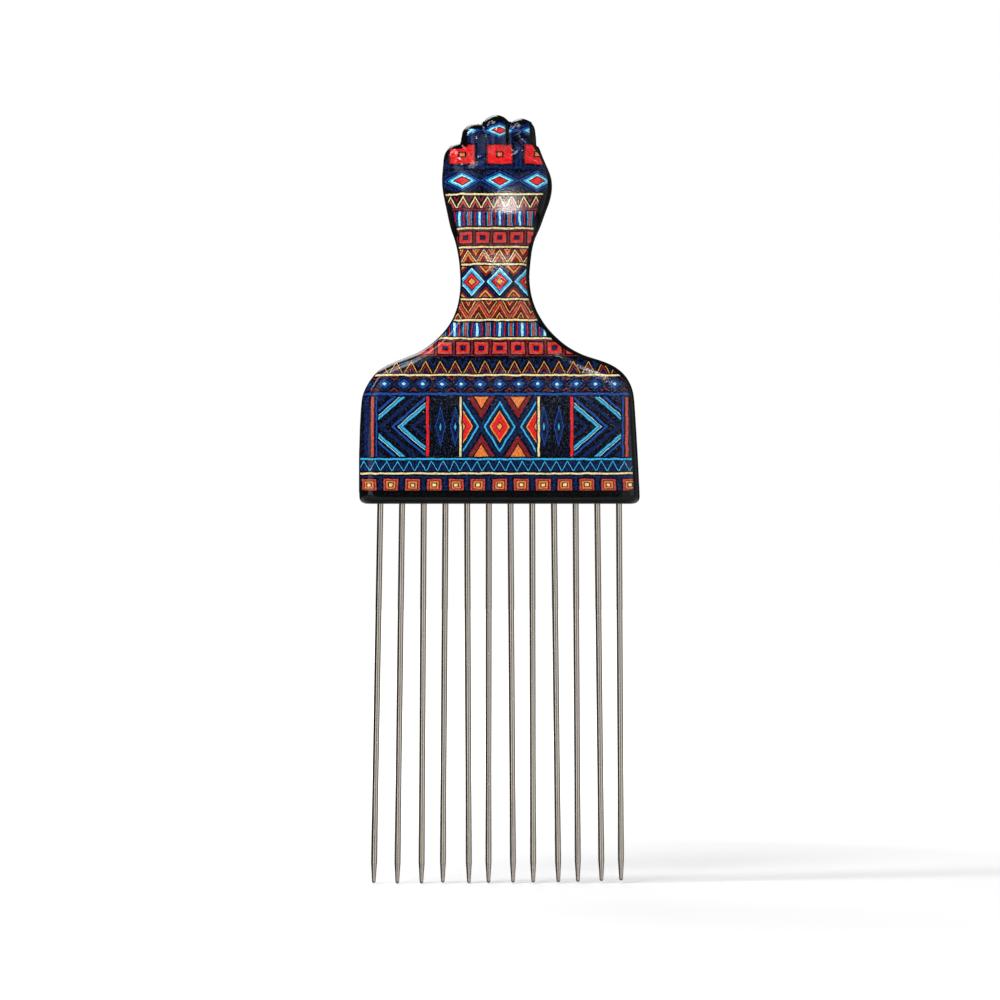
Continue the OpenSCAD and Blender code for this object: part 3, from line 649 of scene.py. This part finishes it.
floor.data.materials.append(card)
floor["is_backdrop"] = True


# Studio: a white backdrop for the camera, and softboxes round the pick. Its walls give a soft light
# of their own, but are nearly dark in gloss, so that the black and the steel mirror darkness beside
# the lamps.
world = bpy.data.worlds.new("studio")
bpy.context.scene.world = world
world.use_nodes = True
tree = world.node_tree
tree.nodes.clear()
ray = add(tree, "ShaderNodeLightPath")
walls = add(tree, "ShaderNodeBackground", {"Color": linear("#FFFFFF"), "Strength": 0.4})
dark = add(tree, "ShaderNodeBackground", {"Color": linear("#FFFFFF"), "Strength": 0.03})
white = add(tree, "ShaderNodeBackground", {"Color": linear("#FFFFFF"), "Strength": 1.0})
room = add(tree, "ShaderNodeMixShader", {0: ray.outputs["Is Glossy Ray"], 1: walls.outputs[0],
                                         2: dark.outputs[0]})
backdrop = add(tree, "ShaderNodeMixShader", {0: ray.outputs["Is Camera Ray"], 1: room.outputs[0],
                                             2: white.outputs[0]})
add(tree, "ShaderNodeOutputWorld", {"Surface": backdrop.outputs[0]})
half_height = (cad_low.z + cad_high.z) / 2


def lamp(name, azimuth, elevation, distance, size, radiance):
    """A softbox aimed at the middle of the pick; azimuth 0 is the camera's side, 90 is the right."""
    around = math.radians(azimuth)
    upwards = math.radians(elevation)
    way = (math.sin(around) * math.cos(upwards), -math.cos(around) * math.cos(upwards),
           math.sin(upwards))
    light = bpy.data.lights.new(name, "AREA")
    light.shape = "RECTANGLE"
    light.size, light.size_y = size
    light.energy = radiance * math.pi * size[0] * size[1]
    box = bpy.data.objects.new(name, light)
    bpy.context.scene.collection.objects.link(box)
    box.location = [way[0] * distance, way[1] * distance, half_height + way[2] * distance]
    box.rotation_euler = (math.radians(90 - elevation), 0, around)
    box.visible_camera = False
    return box


# In front, and at the right: the bright and the middle tones of the steel, from left to right
lamp("softbox_left", azimuth=-26, elevation=0, distance=0.9, size=(0.4, 1.2), radiance=1.3)
lamp("fill_right", azimuth=20, elevation=3, distance=0.9, size=(0.46, 0.9), radiance=0.46)
lamp("window_right", azimuth=53, elevation=3, distance=0.9, size=(0.62, 1.0), radiance=0.9)
lamp("wall_right", azimuth=102, elevation=0, distance=0.9, size=(0.96, 1.2), radiance=0.24)
# Above: the light on the print, the white line along the left shoulder, and the light on the back
lamp("key_above", azimuth=-30, elevation=52, distance=0.9, size=(0.3, 0.3), radiance=9.0)
lamp("rim_strip", azimuth=-72, elevation=48, distance=0.8, size=(0.1, 0.6), radiance=12.0)
lamp("back_above", azimuth=200, elevation=45, distance=0.9, size=(0.5, 0.4), radiance=4.0)
# A small lamp that shows only in gloss, as the highlight on the back of the hand
glint = lamp("glint", azimuth=2.0, elevation=12.5, distance=0.9, size=(0.09, 0.13), radiance=40.0)
glint.visible_diffuse = False


# Camera: level with the middle of the picture and 1.2 m in front of it, as the photograph's flat
# view asks. The picture is 230.5 mm wide at the pick.
picture_width = 0.2305
picture_middle = (0.00008, 0.0884)
distance = 1.2
optics = bpy.data.cameras.new("camera")
optics.sensor_width = 36.0
optics.lens = optics.sensor_width * distance / picture_width
camera = bpy.data.objects.new("camera", optics)
bpy.context.scene.collection.objects.link(camera)
camera.location = (picture_middle[0], -distance, picture_middle[1])
camera.rotation_euler = (math.radians(90), 0, 0)
bpy.context.scene.camera = camera

bpy.context.scene.view_settings.view_transform = "Standard"
low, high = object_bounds()
